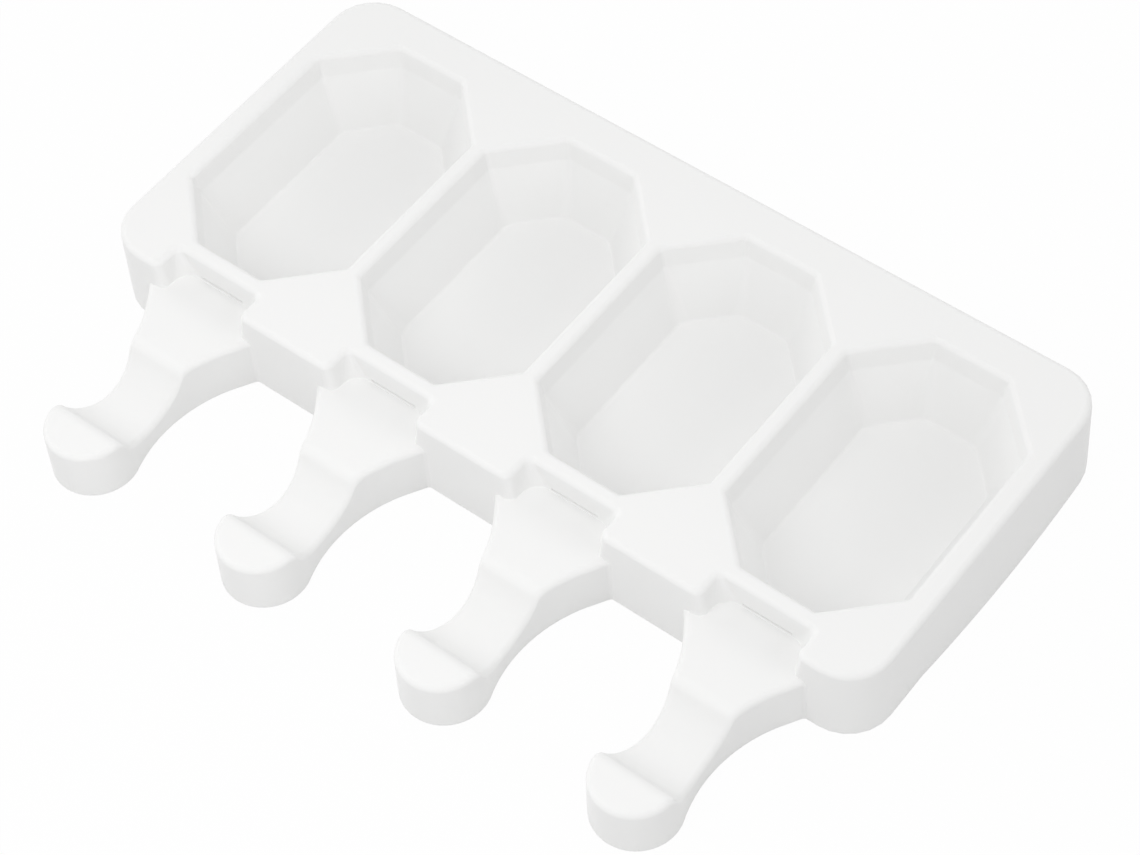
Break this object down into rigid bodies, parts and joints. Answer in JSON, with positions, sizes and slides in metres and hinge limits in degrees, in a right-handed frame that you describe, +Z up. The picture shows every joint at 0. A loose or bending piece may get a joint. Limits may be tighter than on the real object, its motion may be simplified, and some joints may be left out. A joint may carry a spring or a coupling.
{
  "type": "ice pop mold",
  "caption": "Shallow moulded rubber tray with a row of elongated octagonal cavities, each with a stick slot in its front wall and a narrow stick rest with a finger dip and a round tip.",
  "frame": {"origin": "centre of the footprint's bounding box, on the surface that the mould stands on", "axes": "+X along the row of cavities, +Z up, -Y the side that the stick rests point to"},
  "size_m": [0.1912, 0.1298, 0.0194],
  "materials": {
    "silicone": "matt"
  },
  "bodies": {
    "root": {"mould": "silicone"}
  },
  "joints": []
}
